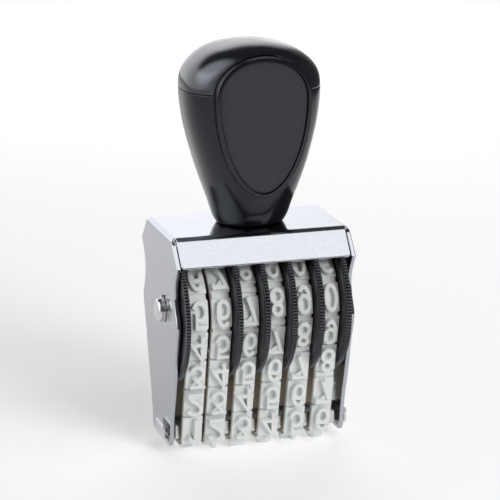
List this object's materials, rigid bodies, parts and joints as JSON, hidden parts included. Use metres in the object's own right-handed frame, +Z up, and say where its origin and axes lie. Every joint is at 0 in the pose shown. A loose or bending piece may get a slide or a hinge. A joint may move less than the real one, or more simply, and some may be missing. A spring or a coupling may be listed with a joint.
{
  "type": "hand numbering stamp",
  "caption": "Upright hand stamp with a teardrop handle on a chromed frame; toothed thumb wheels set mirror-image digits on rubber bands round a platen.",
  "frame": {"origin": "middle of the bounding box, at the level of the printing faces it stands on", "axes": "+Z up along the handle, +Y from the front to the rear, +X along the axle"},
  "size_m": [0.041, 0.0324, 0.0856],
  "materials": {
    "chrome_sheet": "bright plated sheet",
    "steel": "satin nickel",
    "black_body": "semi-gloss black",
    "black_gloss": "high-gloss black",
    "label": "matte dark grey",
    "wheel": "satin black",
    "fabric": "woven canvas",
    "rubber": "matte light grey"
  },
  "bodies": {
    "stamp": {"frame": "chrome_sheet", "axle": "steel", "clip_left": "steel", "clip_right": "steel", "platen": "steel", "handle_body": "black_body", "handle_cap": "black_gloss", "label_front": "label", "label_rear": "label", "band_fabric_1": "fabric", "number_band_1": "rubber", "band_fabric_2": "fabric", "number_band_2": "rubber", "band_fabric_3": "fabric", "number_band_3": "rubber", "band_fabric_4": "fabric", "number_band_4": "rubber", "band_fabric_5": "fabric", "number_band_5": "rubber", "band_fabric_6": "fabric", "number_band_6": "rubber"},
    "wheel_1": {"thumb_wheel_1": "wheel"},
    "wheel_2": {"thumb_wheel_2": "wheel"},
    "wheel_3": {"thumb_wheel_3": "wheel"},
    "wheel_4": {"thumb_wheel_4": "wheel"},
    "wheel_5": {"thumb_wheel_5": "wheel"},
    "wheel_6": {"thumb_wheel_6": "wheel"}
  },
  "joints": [
    {"name": "wheel_1_spin", "type": "hinge", "parent": "stamp", "child": "wheel_1", "pos_m": [0, -0.00135, 0.0305], "axis": [1, 0, 0], "continuous": true},
    {"name": "wheel_2_spin", "type": "hinge", "parent": "stamp", "child": "wheel_2", "pos_m": [0, -0.00135, 0.0305], "axis": [1, 0, 0], "continuous": true},
    {"name": "wheel_3_spin", "type": "hinge", "parent": "stamp", "child": "wheel_3", "pos_m": [0, -0.00135, 0.0305], "axis": [1, 0, 0], "continuous": true},
    {"name": "wheel_4_spin", "type": "hinge", "parent": "stamp", "child": "wheel_4", "pos_m": [0, -0.00135, 0.0305], "axis": [1, 0, 0], "continuous": true},
    {"name": "wheel_5_spin", "type": "hinge", "parent": "stamp", "child": "wheel_5", "pos_m": [0, -0.00135, 0.0305], "axis": [1, 0, 0], "continuous": true},
    {"name": "wheel_6_spin", "type": "hinge", "parent": "stamp", "child": "wheel_6", "pos_m": [0, -0.00135, 0.0305], "axis": [1, 0, 0], "continuous": true}
  ]
}
